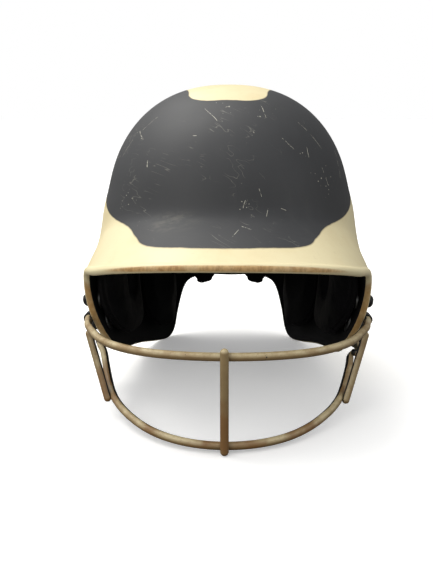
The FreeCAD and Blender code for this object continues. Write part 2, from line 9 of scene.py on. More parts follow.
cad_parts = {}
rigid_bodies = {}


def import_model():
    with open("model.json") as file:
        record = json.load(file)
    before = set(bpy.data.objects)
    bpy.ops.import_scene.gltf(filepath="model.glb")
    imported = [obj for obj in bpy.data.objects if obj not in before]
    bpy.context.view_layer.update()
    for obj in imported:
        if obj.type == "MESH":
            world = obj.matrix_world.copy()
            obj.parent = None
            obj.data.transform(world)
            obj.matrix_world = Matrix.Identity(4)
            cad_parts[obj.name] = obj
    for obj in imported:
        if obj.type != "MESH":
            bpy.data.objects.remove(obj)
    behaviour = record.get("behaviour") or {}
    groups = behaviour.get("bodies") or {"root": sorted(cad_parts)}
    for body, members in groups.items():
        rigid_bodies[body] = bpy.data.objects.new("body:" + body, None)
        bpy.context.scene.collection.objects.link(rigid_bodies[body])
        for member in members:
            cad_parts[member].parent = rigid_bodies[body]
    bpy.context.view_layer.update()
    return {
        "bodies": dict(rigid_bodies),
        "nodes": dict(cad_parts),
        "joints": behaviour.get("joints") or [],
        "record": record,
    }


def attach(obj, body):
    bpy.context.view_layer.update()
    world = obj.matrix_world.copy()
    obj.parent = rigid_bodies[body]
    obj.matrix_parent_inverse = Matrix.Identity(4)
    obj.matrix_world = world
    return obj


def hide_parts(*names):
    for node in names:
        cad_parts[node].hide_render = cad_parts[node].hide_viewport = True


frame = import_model()
nodes = frame["nodes"]

# The helmet rests tipped back on the table, and its guard slides level with the head. Patterns
# are laid out in the upright helmet, whose origin is under the middle of the two ear ports.
EAR_PORT = Vector((0.0, 0.004, 0.058))
slide_axis = next(j["axis"] for j in frame["joints"] if j["name"] == "guard_slide")
port_mount = next(m for m in frame["record"]["mounts"] if m["name"] == "ear_port_left")
TILT = math.atan2(slide_axis[2], -slide_axis[1])
LEVEL = Matrix.Rotation(-TILT, 4, "X")
HEAD_ORIGIN = Vector((0.0, *port_mount["pos_m"][1:])) - LEVEL @ EAR_PORT
UPRIGHT = Matrix.Translation(HEAD_ORIGIN) @ LEVEL


# ---------------------------------------------------------------- node helpers

class Nodes:
    """Short way to write shader node trees, of a material or of the world."""

    def __init__(self, name, world=False):
        self.material = (bpy.data.worlds if world else bpy.data.materials).new(name)
        self.material.use_nodes = True
        self.tree = self.material.node_tree
        self.tree.nodes.clear()
        self.out = self.tree.nodes.new("ShaderNodeOutputWorld" if world else "ShaderNodeOutputMaterial")

    def put(self, socket, value):
        if isinstance(value, bpy.types.NodeSocket):
            self.tree.links.new(value, socket)
        else:
            socket.default_value = value

    def math(self, operation, a, b=0.0, c=0.0, clamp=False):
        node = self.tree.nodes.new("ShaderNodeMath")
        node.operation = operation
        node.use_clamp = clamp
        for socket, value in zip(node.inputs, (a, b, c)):
            self.put(socket, value)
        return node.outputs[0]

    def vector(self, operation, a, b=(0, 0, 0)):
        node = self.tree.nodes.new("ShaderNodeVectorMath")
        node.operation = operation
        self.put(node.inputs[0], a)
        self.put(node.inputs[1], b)
        return node.outputs["Value"] if operation in ("DOT_PRODUCT", "LENGTH") else node.outputs[0]

    def step(self, value, low, high):
        """0 below low, 1 above high, smooth between."""
        node = self.tree.nodes.new("ShaderNodeMapRange")
        node.interpolation_type = "SMOOTHSTEP"
        self.put(node.inputs["Value"], value)
        self.put(node.inputs["From Min"], low)
        self.put(node.inputs["From Max"], high)
        return node.outputs[0]

    def both(self, a, b):
        return self.math("MULTIPLY", a, b)

    def inverse(self, a):
        return self.math("SUBTRACT", 1.0, a)

    def greater(self, a, b):
        return self.math("MAXIMUM", a, b)

    def mix(self, share, a, b):
        """Colour a where share is 0 and b where it is 1."""
        node = self.tree.nodes.new("ShaderNodeMix")
        node.data_type = "RGBA"
        self.put(node.inputs["Factor"], share)
        self.put(node.inputs["A"], a)
        self.put(node.inputs["B"], b)
        return node.outputs["Result"]

    def noise(self, at, scale, detail=3.0, roughness=0.55):
        node = self.tree.nodes.new("ShaderNodeTexNoise")
        self.put(node.inputs["Vector"], at)
        self.put(node.inputs["Scale"], scale)
        node.inputs["Detail"].default_value = detail
        node.inputs["Roughness"].default_value = roughness
        return node.outputs["Fac"]

    def cells(self, at, scale, randomness=1.0):
        node = self.tree.nodes.new("ShaderNodeTexVoronoi")
        self.put(node.inputs["Vector"], at)
        node.inputs["Scale"].default_value = scale
        node.inputs["Randomness"].default_value = randomness
        return node

    def mapped(self, at, rotation=(0, 0, 0), scale=(1, 1, 1), location=(0, 0, 0), kind="POINT"):
        node = self.tree.nodes.new("ShaderNodeMapping")
        node.vector_type = kind
        self.put(node.inputs["Vector"], at)
        node.inputs["Rotation"].default_value = rotation
        node.inputs["Scale"].default_value = scale
        node.inputs["Location"].default_value = location
        return node.outputs[0]

    def upright(self):
        """Position in the upright helmet, in metres."""
        texture = self.tree.nodes.new("ShaderNodeTexCoord")
        return self.mapped(texture.outputs["Object"], (-TILT, 0, 0), (1, 1, 1),
                           tuple(HEAD_ORIGIN), "TEXTURE")

    def upright_normal(self):
        """Direction that the surface faces in the upright helmet."""
        texture = self.tree.nodes.new("ShaderNodeTexCoord")
        return self.mapped(texture.outputs["Normal"], (-TILT, 0, 0), kind="TEXTURE")

    def split(self, vector):
        node = self.tree.nodes.new("ShaderNodeSeparateXYZ")
        self.put(node.inputs[0], vector)
        return node.outputs

    def join(self, x, y, z):
        node = self.tree.nodes.new("ShaderNodeCombineXYZ")
        for socket, value in zip(node.inputs, (x, y, z)):
            self.put(socket, value)
        return node.outputs[0]

    def seen(self):
        """1 where the camera looks straight at it, 0 for light that bounces."""
        return self.tree.nodes.new("ShaderNodeLightPath").outputs["Is Camera Ray"]

    def curve(self, value, points, low, high):
        """Smooth curve through (x, y) points, x in 0..1 and y between low and high."""
        node = self.tree.nodes.new("ShaderNodeFloatCurve")
        self.put(node.inputs["Value"], value)
        line = node.mapping.curves[0]
        scaled = [(x, (y - low) / (high - low)) for x, y in points]
        line.points[0].location = scaled[0]
        line.points[1].location = scaled[-1]
        for x, y in scaled[1:-1]:
            line.points.new(x, y)
        node.mapping.update()
        return self.math("MULTIPLY_ADD", node.outputs[0], high - low, low)

    def bump(self, height, strength, distance):
        node = self.tree.nodes.new("ShaderNodeBump")
        self.put(node.inputs["Height"], height)
        node.inputs["Strength"].default_value = strength
        node.inputs["Distance"].default_value = distance
        return node.outputs[0]

    def surface(self, **settings):
        node = self.tree.nodes.new("ShaderNodeBsdfPrincipled")
        for key, value in settings.items():
            self.put(node.inputs[key.replace("_", " ")], value)
        self.tree.links.new(node.outputs[0], self.out.inputs[0])
        return self.material


def shade(red, green, blue):
    """Linear colour from display values of 0 to 255."""
    def linear(value):
        value /= 255.0
        return value / 12.92 if value <= 0.04045 else ((value + 0.055) / 1.055) ** 2.4
    return (linear(red), linear(green), linear(blue), 1.0)


# ---------------------------------------------------------------- shell paint, wear and painted shade

# Lower edge of the black coat, from the brim round to the back: degrees from the front and height
# in mm. It is level over the brim, climbs at the brim's ends and sinks behind the ears.
COAT_EDGE = ((0, 98.5), (11, 98.5), (20, 98), (27, 102), (34, 106.5), (49, 110), (63, 116), (76, 123),
             (90, 128), (119, 128), (148, 122), (180, 115))
# Heights between which the curve node holds that edge.
COAT_EDGE_LOW, COAT_EDGE_HIGH = 0.09, 0.135
COAT_EDGE_BLUR = 0.00022
# Cream panel over the crown: its reach forward of the head axis, half-width, and widening.
PANEL_FRONT = 0.0622
PANEL_HALF_WIDTH = 0.0285
PANEL_FLARE = 0.028
PANEL_CORNER = 0.02
# Pale smear on the coat, over the root of the brim on the wearer's right.
HAZE_PATCH = (-0.036, -0.118, 0.112)
# Height under which the shell's edge belongs to the flaps and not to the brim.
FLAP_TOP = 0.068

# Wear of the coat, as directions from the middle of the dome: azimuth from the front, positive to
# the wearer's left, and elevation, in degrees. A scratch has two ends and a half-width in mm.
DOME_MIDDLE = (0.0, -0.010, 0.100)
SCRATCHES = (
    (43, 47, 51, 34, 0.26), (45, 27, 47, 19, 0.2), (26, 38, 31, 33, 0.2), (39, 35, 38, 30, 0.3),
    (-15, 54, -5, 46, 0.3), (24, 58, 22, 48, 0.34), (-56, 43, -46, 38, 0.34), (-62, 31, -58, 39, 0.3),
    (-53, 43, -47, 50, 0.26), (6, 11, 7, 14, 0.3), (5, 5, 8, 4, 0.34), (2, 2, 4, 4, 0.22),
    (12, 18, 13, 15, 0.22), (14, 8, 15, 11, 0.24), (20, 11, 22, 10, 0.26),
    (-16, 39, -14, 39, 0.4), (13, 41, 13, 40, 0.45), (-3, 54, 2, 56, 0.22), (-36, 29, -35, 26, 0.5),
    (70, 35, 62, 22, 0.24), (-75, 28, -84, 20, 0.26))
# Patches of fine nicks: azimuth, elevation and reach in degrees.
NICKED = ((-51, 42, 8), (23, 52, 7), (-3, 55, 6), (40, 32, 7), (7, 12, 5), (-44, 13, 7), (44, 22, 9),
          (-36, 29, 4), (-70, 30, 8))


def toward(azimuth, elevation):
    turn, rise = math.radians(azimuth), math.radians(elevation)
    return Vector((math.sin(turn) * math.cos(rise), -math.cos(turn) * math.cos(rise), math.sin(rise)))


def coat_wear(n, at):
    """Named scratches, hairlines and patches of nicks through the black coat."""
    ray = n.vector("SUBTRACT", at, DOME_MIDDLE)
    way = n.vector("NORMALIZE", ray)
    uneven = n.noise(at, 260.0, 3.0, 0.7)
    bent = n.math("MULTIPLY", n.math("SUBTRACT", n.noise(at, 55.0, 2.0), 0.5), 0.0022)
    worn = 0.0
    for azimuth, elevation, end_azimuth, end_elevation, half_width in SCRATCHES:
        start, end = toward(azimuth, elevation), toward(end_azimuth, end_elevation)
        middle = (start + end).normalized()
        off = n.math("ADD", n.vector("DOT_PRODUCT", ray, tuple(start.cross(end).normalized())), bent)
        across = n.inverse(n.step(n.math("ABSOLUTE", off), 0.0002 * half_width, 0.0009 * half_width))
        reach = start.dot(middle)
        along = n.step(n.vector("DOT_PRODUCT", way, tuple(middle)), reach, reach + 0.25 * (1 - reach))
        worn = n.greater(worn, n.both(across, along))
    worn = n.both(worn, n.step(uneven, 0.4, 0.56))
    nicked = 0.0
    for azimuth, elevation, reach in NICKED:
        edge, core = (math.cos(math.radians(reach * share)) for share in (1.0, 0.3))
        near = n.step(n.vector("DOT_PRODUCT", way, tuple(toward(azimuth, elevation))), edge, core)
        nicked = n.greater(nicked, near)
    for scale, size, share in ((420.0, 0.16, 0.6), (230.0, 0.12, 0.72)):
        cell = n.cells(n.mapped(at, (0.4, 0.7, 0.2), (1, 0.4, 1)), scale)
        off = n.math("MULTIPLY_ADD", n.noise(at, 1100.0, 2.0), 0.14, cell.outputs["Distance"])
        dot = n.inverse(n.step(off, size, size + 0.08))
        kept = n.step(n.split(cell.outputs["Color"])[0], share, share + 0.05)
        worn = n.greater(worn, n.both(n.both(dot, kept), n.both(nicked, 0.9)))
    hairs = n.mapped(at, (0.3, 0.6, 1.1), (0.0042, 0.16, 0.0042), kind="TEXTURE")
    hair = n.math("ABSOLUTE", n.math("SUBTRACT", n.noise(hairs, 1.0, 1.0, 0.4), 0.5))
    hair = n.both(n.inverse(n.step(hair, 0.002, 0.014)), n.step(n.noise(at, 75.0, 2.0), 0.5, 0.62))
    faint = n.both(n.both(hair, n.step(n.noise(at, 24.0, 2.0), 0.46, 0.6)), 0.2)
    return n.math("MAXIMUM", worn, faint, clamp=True)


def coat_edge(n, at):
    """Distance into the black coat from its edge, under 0 on the cream."""
    x, y, z = n.split(at)
    side = n.math("ABSOLUTE", x)
    ahead = n.math("MULTIPLY", y, -1.0)
    azimuth = n.math("DIVIDE", n.math("ARCTAN2", side, ahead), math.pi)
    points = [(degrees / 180.0, 0.001 * height) for degrees, height in COAT_EDGE]
    low_edge = n.curve(azimuth, points, COAT_EDGE_LOW, COAT_EDGE_HIGH)
    width = n.math("MULTIPLY_ADD", n.step(y, -0.05, 0.11), PANEL_FLARE, PANEL_HALF_WIDTH)
    over_side = n.math("SUBTRACT", side, n.math("SUBTRACT", width, PANEL_CORNER))
    over_front = n.math("SUBTRACT", ahead, PANEL_FRONT - PANEL_CORNER)
    outside = n.math("SQRT", n.math("ADD", n.math("POWER", n.greater(over_side, 0.0), 2.0),
                                    n.math("POWER", n.greater(over_front, 0.0), 2.0)))
    within = n.math("MINIMUM", n.greater(over_side, over_front), 0.0)
    beyond_panel = n.math("SUBTRACT", n.math("ADD", outside, within), PANEL_CORNER)
    wobble = n.math("MULTIPLY", n.math("SUBTRACT", n.noise(at, 160.0, 2.0), 0.5), 0.0005)
    above = n.math("ADD", n.math("SUBTRACT", z, low_edge), wobble)
    return n.math("MINIMUM", above, n.math("ADD", beyond_panel, wobble))


def charcoal_paint(n, at, haze):
    """Colour of the black coat before its scratches: cloudy, rubbed, with one pale smear."""
    rub = n.both(n.step(haze, 0.5, 0.78), n.step(n.noise(at, 11.0, 2.0), 0.42, 0.62))
    flat = n.mapped(n.vector("SUBTRACT", at, HAZE_PATCH), scale=(0.62, 1.0, 1.6))
    patch = n.inverse(n.step(n.vector("LENGTH", flat), 0.003, 0.017))
    streaks = n.noise(n.mapped(at, scale=(0.35, 1, 1)), 240.0, 4.0, 0.7)
    smear = n.both(patch, n.step(streaks, 0.4, 0.66))
    colour = n.mix(haze, shade(50, 51, 53), shade(60, 61, 63))
    colour = n.mix(n.both(rub, 0.22), colour, shade(84, 83, 80))
    return n.mix(n.both(smear, 0.26), colour, shade(128, 125, 112))


def cream_plastic(n, at, stains):
    """Colour of the bare moulding, with faint stains and specks."""
    colour = n.mix(n.step(stains, 0.35, 0.75), shade(234, 222, 181), shade(227, 211, 166))
    specks = n.step(n.noise(at, 310.0, 3.0), 0.62, 0.74)
    return n.mix(n.both(specks, 0.14), colour, shade(186, 162, 118))


def rubbed_and_shaded_edge(n, at, cream, front_face, facing_up, height):
    """Tan band along the front of the edge bead, over the cream: partly rub, partly painted shade on that
    forward-facing face.
    """
    grain = n.noise(n.mapped(at, scale=(1, 1, 0.5)), 420.0, 4.0, 0.7)
    streak = n.noise(at, 60.0, 4.0, 0.6)
    rubbed = n.both(front_face, n.step(facing_up, -0.75, -0.45))
    tan = n.mix(n.step(grain, 0.35, 0.65), shade(208, 168, 112), shade(170, 126, 74))
    # On the flaps the tan turns browner: painted shade along the flaps' edges as well as rub.
    on_flap = n.inverse(n.step(height, FLAP_TOP, FLAP_TOP + 0.006))
    tan = n.mix(n.both(on_flap, 0.6), tan, shade(176, 136, 76))
    share = n.math("MULTIPLY_ADD", n.step(streak, 0.3, 0.6), 0.3, 0.65)
    return n.mix(n.both(rubbed, share), cream, tan)


def shell_material():
    n = Nodes("shell_two_tone")
    at = n.upright()
    normal = n.upright_normal()
    x, y, z = n.split(at)
    normal_y, normal_z = n.split(normal)[1:]
    edge = coat_edge(n, at)
    outward = n.vector("DOT_PRODUCT", normal, n.vector("NORMALIZE", n.join(
        x, y, n.math("SUBTRACT", z, 0.09))))
    inner = n.inverse(n.step(outward, -0.12, 0.0))
    black = n.both(n.step(edge, -COAT_EDGE_BLUR, COAT_EDGE_BLUR), n.inverse(inner))

    wear = coat_wear(n, at)
    haze = n.noise(n.mapped(at, (0.2, 0.1, 0.4), (1, 1, 0.35)), 38.0, 5.0, 0.62)
    charcoal = charcoal_paint(n, at, haze)
    stains = n.noise(at, 23.0, 5.0, 0.6)
    cream = cream_plastic(n, at, stains)

    faces_front = n.step(n.math("MULTIPLY", normal_y, -1.0), 0.6, 0.82)
    below_brim_top = n.inverse(n.step(z, 0.097, 0.1))
    ahead_of_ears = n.step(n.math("MULTIPLY", y, -1.0), 0.024, 0.034)
    front_face = n.both(n.both(faces_front, below_brim_top), ahead_of_ears)
    # Painted shade and rub: a tan band on the forward face of the edge bead.
    cream = rubbed_and_shaded_edge(n, at, cream, front_face, normal_z, z)

    # Painted shade: a dark line along the coat's edge, standing in for the shadow of the paint's raised
    # ledge.
    at_coat_edge = n.inverse(n.step(n.math("ABSOLUTE", edge), 0.0002, 0.0008))
    painted_ledge_shadow = n.both(at_coat_edge, n.inverse(inner))
    plastic = n.mix(n.both(painted_ledge_shadow, 0.4), cream, shade(130, 114, 82))
    painted = n.mix(n.both(wear, 0.9), charcoal, shade(206, 202, 186))
    # Painted shade: the shell's inner faces, the brim's underside among them, are near-black, standing in
    # for the shade inside the helmet.
    painted_inside_shade = n.mix(n.noise(at, 90.0, 3.0), shade(6, 6, 8), shade(11, 11, 13))
    shaded_inside = n.both(inner, n.inverse(front_face))
    colour = n.mix(shaded_inside, n.mix(black, plastic, painted), painted_inside_shade)

    rough_cream = n.math("MULTIPLY_ADD", stains, 0.2, 0.42)
    rough_black = n.math("MULTIPLY_ADD", haze, 0.16, 0.5)
    rough_outside = n.math("MULTIPLY_ADD", black, n.math("SUBTRACT", rough_black, rough_cream),
                           rough_cream)
    roughness = n.math("MULTIPLY_ADD", shaded_inside, 0.35, rough_outside, clamp=True)

    relief = n.math("MULTIPLY_ADD", n.noise(at, 1300.0, 2.0), 0.12,
                    n.math("MULTIPLY", n.step(edge, -0.0003, 0.0003), 0.5))
    return n.surface(Base_Color=colour, Roughness=roughness, Normal=n.bump(relief, 0.5, 0.0003),
                     Specular_IOR_Level=0.42)


# ---------------------------------------------------------------- guard and fasteners

def wire_material():
    """Dipped coating: cream on the outside, black on the wearer's side, rubbed in places; painted shade
    darkens the surfaces that face down.
    """
    n = Nodes("guard_coating")
    at = n.upright()
    normal = n.upright_normal()
    x, y, z = n.split(at)
    outward = n.vector("NORMALIZE", n.join(x, n.math("ADD", y, 0.045), n.math(
        "MULTIPLY", n.math("SUBTRACT", z, 0.045), 0.35)))
    facing = n.vector("DOT_PRODUCT", normal, outward)
    ragged = n.math("MULTIPLY_ADD", n.noise(at, 130.0, 4.0, 0.6), 0.5, -0.25)
    back = n.inverse(n.step(n.math("ADD", facing, ragged), -0.42, -0.28))
    stain = n.noise(at, 48.0, 5.0, 0.65)
    fine = n.noise(at, 520.0, 3.0, 0.6)
    # Painted shade: surfaces facing down get a darker, browner cream than the tops.
    top = n.step(n.split(normal)[2], -0.35, 0.75)
    cream = n.mix(n.step(stain, 0.4, 0.68), shade(206, 190, 150), shade(160, 134, 92))
    under = n.mix(stain, shade(150, 126, 84), shade(112, 88, 54))
    cream = n.mix(top, under, cream)
    cream = n.mix(n.both(n.step(fine, 0.56, 0.7), 0.3), cream, shade(126, 98, 58))
    low = n.inverse(n.step(z, -0.005, 0.02))
    cream = n.mix(n.both(low, n.both(n.step(n.noise(at, 31.0, 3.0), 0.45, 0.62), 0.8)),
                  cream, shade(128, 88, 44))
    chips = n.both(n.step(n.noise(at, 210.0, 3.0, 0.7), 0.66, 0.68),
                   n.step(n.noise(at, 24.0, 2.0), 0.55, 0.62))
    colour = n.mix(back, cream, shade(14, 14, 15))
    colour = n.mix(chips, colour, shade(30, 29, 27))
    bumped = n.bump(n.math("MULTIPLY_ADD", fine, 0.35, n.noise(at, 170.0, 2.0)), 0.35, 0.0004)
    roughness = n.math("MULTIPLY_ADD", stain, 0.3, 0.3)
    return n.surface(Base_Color=colour, Roughness=roughness, Normal=bumped,
                     Coat_Weight=0.15, Coat_Roughness=0.35)


def nylon_material():
    n = Nodes("black_nylon")
    at = n.upright()
    grain = n.noise(at, 1600.0, 3.0, 0.7)
    dust = n.step(n.noise(at, 140.0, 4.0), 0.55, 0.75)
    colour = n.mix(n.both(dust, 0.35), shade(20, 20, 21), shade(70, 68, 62))
    return n.surface(Base_Color=colour, Roughness=n.math("MULTIPLY_ADD", grain, 0.25, 0.35),
                     Normal=n.bump(grain, 0.25, 0.0002))


def black_metal_material():
    n = Nodes("black_screw")
    at = n.upright()
    rub = n.noise(at, 900.0, 4.0, 0.7)
    chip = n.step(n.noise(at, 420.0, 3.0), 0.66, 0.7)
    colour = n.mix(n.both(chip, 0.6), shade(17, 17, 18), shade(110, 108, 102))
    return n.surface(Base_Color=colour, Metallic=0.35, Normal=n.bump(rub, 0.12, 0.0002),
                     Roughness=n.math("MULTIPLY_ADD", rub, 0.25, 0.22))


def zinc_material():
    n = Nodes("zinc_plate")
    at = n.upright()
    brushed = n.noise(n.mapped(at, scale=(1, 1, 14)), 300.0, 3.0)
    spangle = n.cells(at, 700.0).outputs["Distance"]
    colour = n.mix(spangle, shade(168, 168, 164), shade(126, 128, 130))
    return n.surface(Base_Color=colour, Metallic=0.95, Normal=n.bump(brushed, 0.1, 0.0001),
                     Roughness=n.math("MULTIPLY_ADD", brushed, 0.3, 0.25))


def hook_tape_material():
    n = Nodes("hook_tape")
    at = n.upright()
    hooks = n.cells(at, 1500.0, randomness=0.35).outputs["Distance"]
    colour = n.mix(n.step(hooks, 0.1, 0.6), shade(34, 34, 36), shade(8, 8, 9))
    return n.surface(Base_Color=colour, Roughness=0.8, Sheen_Weight=0.2,
                     Normal=n.bump(n.inverse(hooks), 0.9, 0.0006))


def pad_material():
    """Black brushed knit over foam, with lint and a slight sheen."""
    n = Nodes("pad_lining")
    at = n.upright()
    knit = n.cells(n.mapped(at, (0.4, 0.3, 0.2), (1, 0.6, 1)), 1100.0, randomness=0.5)
    weave = knit.outputs["Distance"]
    nap = n.noise(at, 380.0, 4.0, 0.7)
    soft = n.noise(at, 26.0, 3.0)
    lint = n.both(n.inverse(n.step(n.cells(at, 210.0).outputs["Distance"], 0.05, 0.1)),
                  n.step(n.noise(at, 60.0, 2.0), 0.6, 0.68))
    colour = n.mix(n.step(soft, 0.3, 0.7), shade(10, 10, 12), shade(17, 17, 20))
    colour = n.mix(n.both(n.step(weave, 0.35, 0.75), 0.6), colour, shade(5, 5, 6))
    colour = n.mix(n.both(lint, 0.4), colour, shade(100, 98, 92))
    height = n.math("MULTIPLY_ADD", nap, 0.6, n.inverse(weave))
    return n.surface(Base_Color=colour, Roughness=n.math("MULTIPLY_ADD", nap, 0.2, 0.62),
                     Specular_IOR_Level=0.12, Sheen_Weight=0.02, Sheen_Roughness=0.5,
                     Normal=n.bump(height, 0.6, 0.0004))


# ---------------------------------------------------------------- dress the CAD nodes

def dress(name, material):
    obj = nodes[name]
    obj.data.materials.clear()
    obj.data.materials.append(material)


SIDES = ("left", "right")
wire = wire_material()
nylon = nylon_material()
dress("shell", shell_material())
for name in ("guard_top_bar", "guard_bottom_bar", "guard_centre_bar",
             "guard_side_link_left", "guard_side_link_right"):
    dress(name, wire)
for name in [level + "_clip_" + side for level in ("upper", "lower") for side in SIDES]:
    dress(name, nylon)
screw_black = black_metal_material()
dress("clip_screws", screw_black)
dress("clip_washers", screw_black)
dress("clip_t_nuts", zinc_material())
dress("hook_patches", hook_tape_material())
lining = pad_material()


# ---------------------------------------------------------------- pads

VOXEL = 0.0032
START_SHRINK = 0.0012
PUFF_CAP = 0.0022
SIM_FRAMES = 20
# The sewn seam lies this share of the way from the wall to the face, between two rolls of piping.
SEAM_SHARE = 0.34
SEAM_DEPTH, SEAM_WIDTH = 0.0011, 0.0011
PIPING_HEIGHT, PIPING_OFFSET, PIPING_WIDTH = 0.0004, 0.0021, 0.001
PUCKER_HEIGHT, PUCKER_REACH, PUCKER_SCALE = 0.00035, 0.005, 170.0
UNEVEN_HEIGHT, UNEVEN_SCALE = 0.0004, 45.0
CHANNEL_DEPTH, CHANNEL_WIDTH = 0.0026, 0.0021
SWELL_HEIGHT, SWELL_OFFSET, SWELL_WIDTH = 0.0006, 0.0055, 0.003

shell_mesh = nodes["shell"].data
wall = BVHTree.FromPolygons([v.co for v in shell_mesh.vertices],
                            [tuple(p.vertices) for p in shell_mesh.polygons])
TO_UPRIGHT = UPRIGHT.inverted()


def points_of(mesh):
    flat = np.empty(len(mesh.vertices) * 3)
    mesh.vertices.foreach_get("co", flat)
    return flat.reshape(-1, 3)


def normals_of(mesh):
    flat = np.empty(len(mesh.vertices) * 3)
    mesh.vertex_normals.foreach_get("vector", flat)
    return flat.reshape(-1, 3)


def in_upright(points):
    """Points of the resting helmet in the upright helmet."""
    return points @ np.array(TO_UPRIGHT.to_3x3()).T + np.array(TO_UPRIGHT.translation)


def set_points(mesh, points):
    mesh.vertices.foreach_set("co", points.ravel())
    mesh.update()


def apply_modifiers(obj):
    """Bake the modifiers of an object into its mesh."""
    depsgraph = bpy.context.evaluated_depsgraph_get()
    baked = bpy.data.meshes.new_from_object(obj.evaluated_get(depsgraph))
    obj.modifiers.clear()
    obj.data = baked


def inflate(pad):
    """Puff the cushion up with a short cloth simulation, holding each point near its start."""
    scene = bpy.context.scene
    start = points_of(pad.data)
    cloth = pad.modifiers.new("puff", "CLOTH")
    settings = cloth.settings
    settings.quality = 4
    settings.mass = 0.2
    settings.tension_stiffness = 12.0
    settings.compression_stiffness = 12.0
    settings.shear_stiffness = 6.0
    settings.bending_stiffness = 0.6
    settings.use_pressure = True
    settings.uniform_pressure_force = 4.0
    settings.effector_weights.gravity = 0.0
    cloth.point_cache.frame_start = 1
    cloth.point_cache.frame_end = SIM_FRAMES
    for step in range(1, SIM_FRAMES + 1):
        scene.frame_set(step)
    apply_modifiers(pad)
    scene.frame_set(1)
    moved = points_of(pad.data) - start
    length = np.linalg.norm(moved, axis=1, keepdims=True)
    set_points(pad.data, start + moved * np.minimum(1.0, PUFF_CAP / np.maximum(length, 1e-9)))


def depth_below_wall(points):
    """Distance of each point from the shell and the direction to it."""
    depth = np.empty(len(points))
    to_wall = np.empty((len(points), 3))
    for index, point in enumerate(points):
        hit, _, _, distance = wall.find_nearest(Vector(point))
        depth[index] = distance
        to_wall[index] = (hit - Vector(point)) / max(distance, 1e-9)
    return depth, to_wall


def groove(distance, width):
    return np.exp(-(distance / width) ** 2)


# Shares of the pad's two sides' sum, of its width and of its height.
LOBE_MIDDLE, LOBE_HALF_WIDTH, LOBE_REACH = 0.41, 0.62, 0.5


def hang(points, depth):
    """Let the lower end of a narrow pad hang down in a round lobe, a little towards the middle."""
    across, _, height = in_upright(points).T
    middle = LOBE_MIDDLE * (across.min() + across.max())
    half = LOBE_HALF_WIDTH * (across.max() - across.min())
    reach = LOBE_REACH * (height.max() - height.min())
    share = np.clip(1.0 - (height - height.min()) / reach, 0, 1) ** 1.5
    lobe = np.sqrt(np.clip(1.0 - ((across - middle) / half) ** 2, 0, 1))
    return points - np.outer(depth * share * lobe, np.array(UPRIGHT.to_3x3().col[2]))


def wrinkles(points, scale):
    return np.array([noise.noise(Vector(point) * scale) for point in points])


def finish_pad(pad, channels, lobe):
    """Sew the cushion: a drawn-in seam round its side and channels across its face."""
    points = points_of(pad.data)
    if lobe:
        points = hang(points, lobe)
        set_points(pad.data, points)
    normals = normals_of(pad.data)
    depth, to_wall = depth_below_wall(points)
    near, far = np.percentile(depth, 2), np.percentile(depth, 98)
    facing = np.sum(normals * to_wall, axis=1)
    side = np.clip(1.0 - facing ** 2, 0, 1)
    seam_depth = near + SEAM_SHARE * (far - near)
    off_seam = depth - seam_depth
    seam = groove(off_seam, SEAM_WIDTH) * side
    piping = groove(np.abs(off_seam) - PIPING_OFFSET, PIPING_WIDTH) * side
    pull = PIPING_HEIGHT * piping - SEAM_DEPTH * seam
    pull += PUCKER_HEIGHT * wrinkles(points, PUCKER_SCALE) * groove(off_seam, PUCKER_REACH) * side
    pull += UNEVEN_HEIGHT * wrinkles(points, UNEVEN_SCALE)
    upright = in_upright(points)
    inside_face = np.clip(-facing * 1.6 - 0.2, 0, 1)
    for distance_to_channel in channels:
        off = distance_to_channel(upright)
        pull -= CHANNEL_DEPTH * groove(off, CHANNEL_WIDTH) * inside_face
        pull += SWELL_HEIGHT * groove(np.abs(off) - SWELL_OFFSET, SWELL_WIDTH) * inside_face
    set_points(pad.data, points + normals * pull[:, None])


def cushion(name, channels=(), lobe=0.0):
    mesh = nodes[name].data.copy()
    pad = bpy.data.objects.new("lining_" + name, mesh)
    bpy.context.scene.collection.objects.link(pad)
    remesh = pad.modifiers.new("remesh", "REMESH")
    remesh.mode = "VOXEL"
    remesh.voxel_size = VOXEL
    relax = pad.modifiers.new("relax", "SMOOTH")
    relax.iterations = 3
    apply_modifiers(pad)
    set_points(pad.data, points_of(pad.data) - START_SHRINK * normals_of(pad.data))
    inflate(pad)
    rounder = pad.modifiers.new("rounder", "SUBSURF")
    rounder.levels = rounder.render_levels = 2
    apply_modifiers(pad)
    finish_pad(pad, channels, lobe)
    pad.data.materials.clear()
    pad.data.materials.append(lining)
    pad.data.shade_smooth()
    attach(pad, name if name in frame["bodies"] else "helmet")
    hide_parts(name)


def at_azimuth(degrees, middle_y=0.0):
    """Distance from a vertical plane through the head axis, on one side of it."""
    turn = math.radians(degrees)

    def distance(points):
        across = points[:, 0] * math.cos(turn) + (points[:, 1] - middle_y) * math.sin(turn)
        along = points[:, 0] * math.sin(turn) - (points[:, 1] - middle_y) * math.cos(turn)
        return np.where(along > 0, np.abs(across), np.hypot(across, along))
    return distance


def at_height(level):
    return lambda points: np.abs(points[:, 2] - level)


cushion("crown_pad", [at_azimuth(angle, 6.0e-3) for angle in (0, 120, 240)])
cushion("forehead_pad", [at_azimuth(angle) for angle in (-19, 19)])
for side in SIDES:
    turn = 1 if side == "left" else -1
    cushion("temple_pad_" + side, [at_azimuth(80 * turn)])
    cushion("jaw_pad_" + side)
    cushion("rear_side_pad_" + side, [at_height(0.055)])
    cushion("nape_pad_" + side, [at_height(0.062)], lobe=0.007)


# ---------------------------------------------------------------- screw heads

CAP_SIDES = 48
# Height in mm of the plain CAD head, whose top is the crown.
HEAD_HEIGHT = 2.6
# Rings of a domed head: radius and height in mm over the washer, and how far it is a hexagon.
CAP_RINGS = ((4.9, 0.0, 0), (5.3, 0.25, 0), (5.35, 1.2, 0), (5.1, 2.6, 0), (4.6, 3.9, 0), (3.9, 4.8, 0),
             (3.1, 5.4, 0), (2.5, 5.65, 0), (2.2, 5.6, 0.6), (2.05, 5.3, 1), (2.0, 3.6, 1), (1.2, 3.4, 0.5))


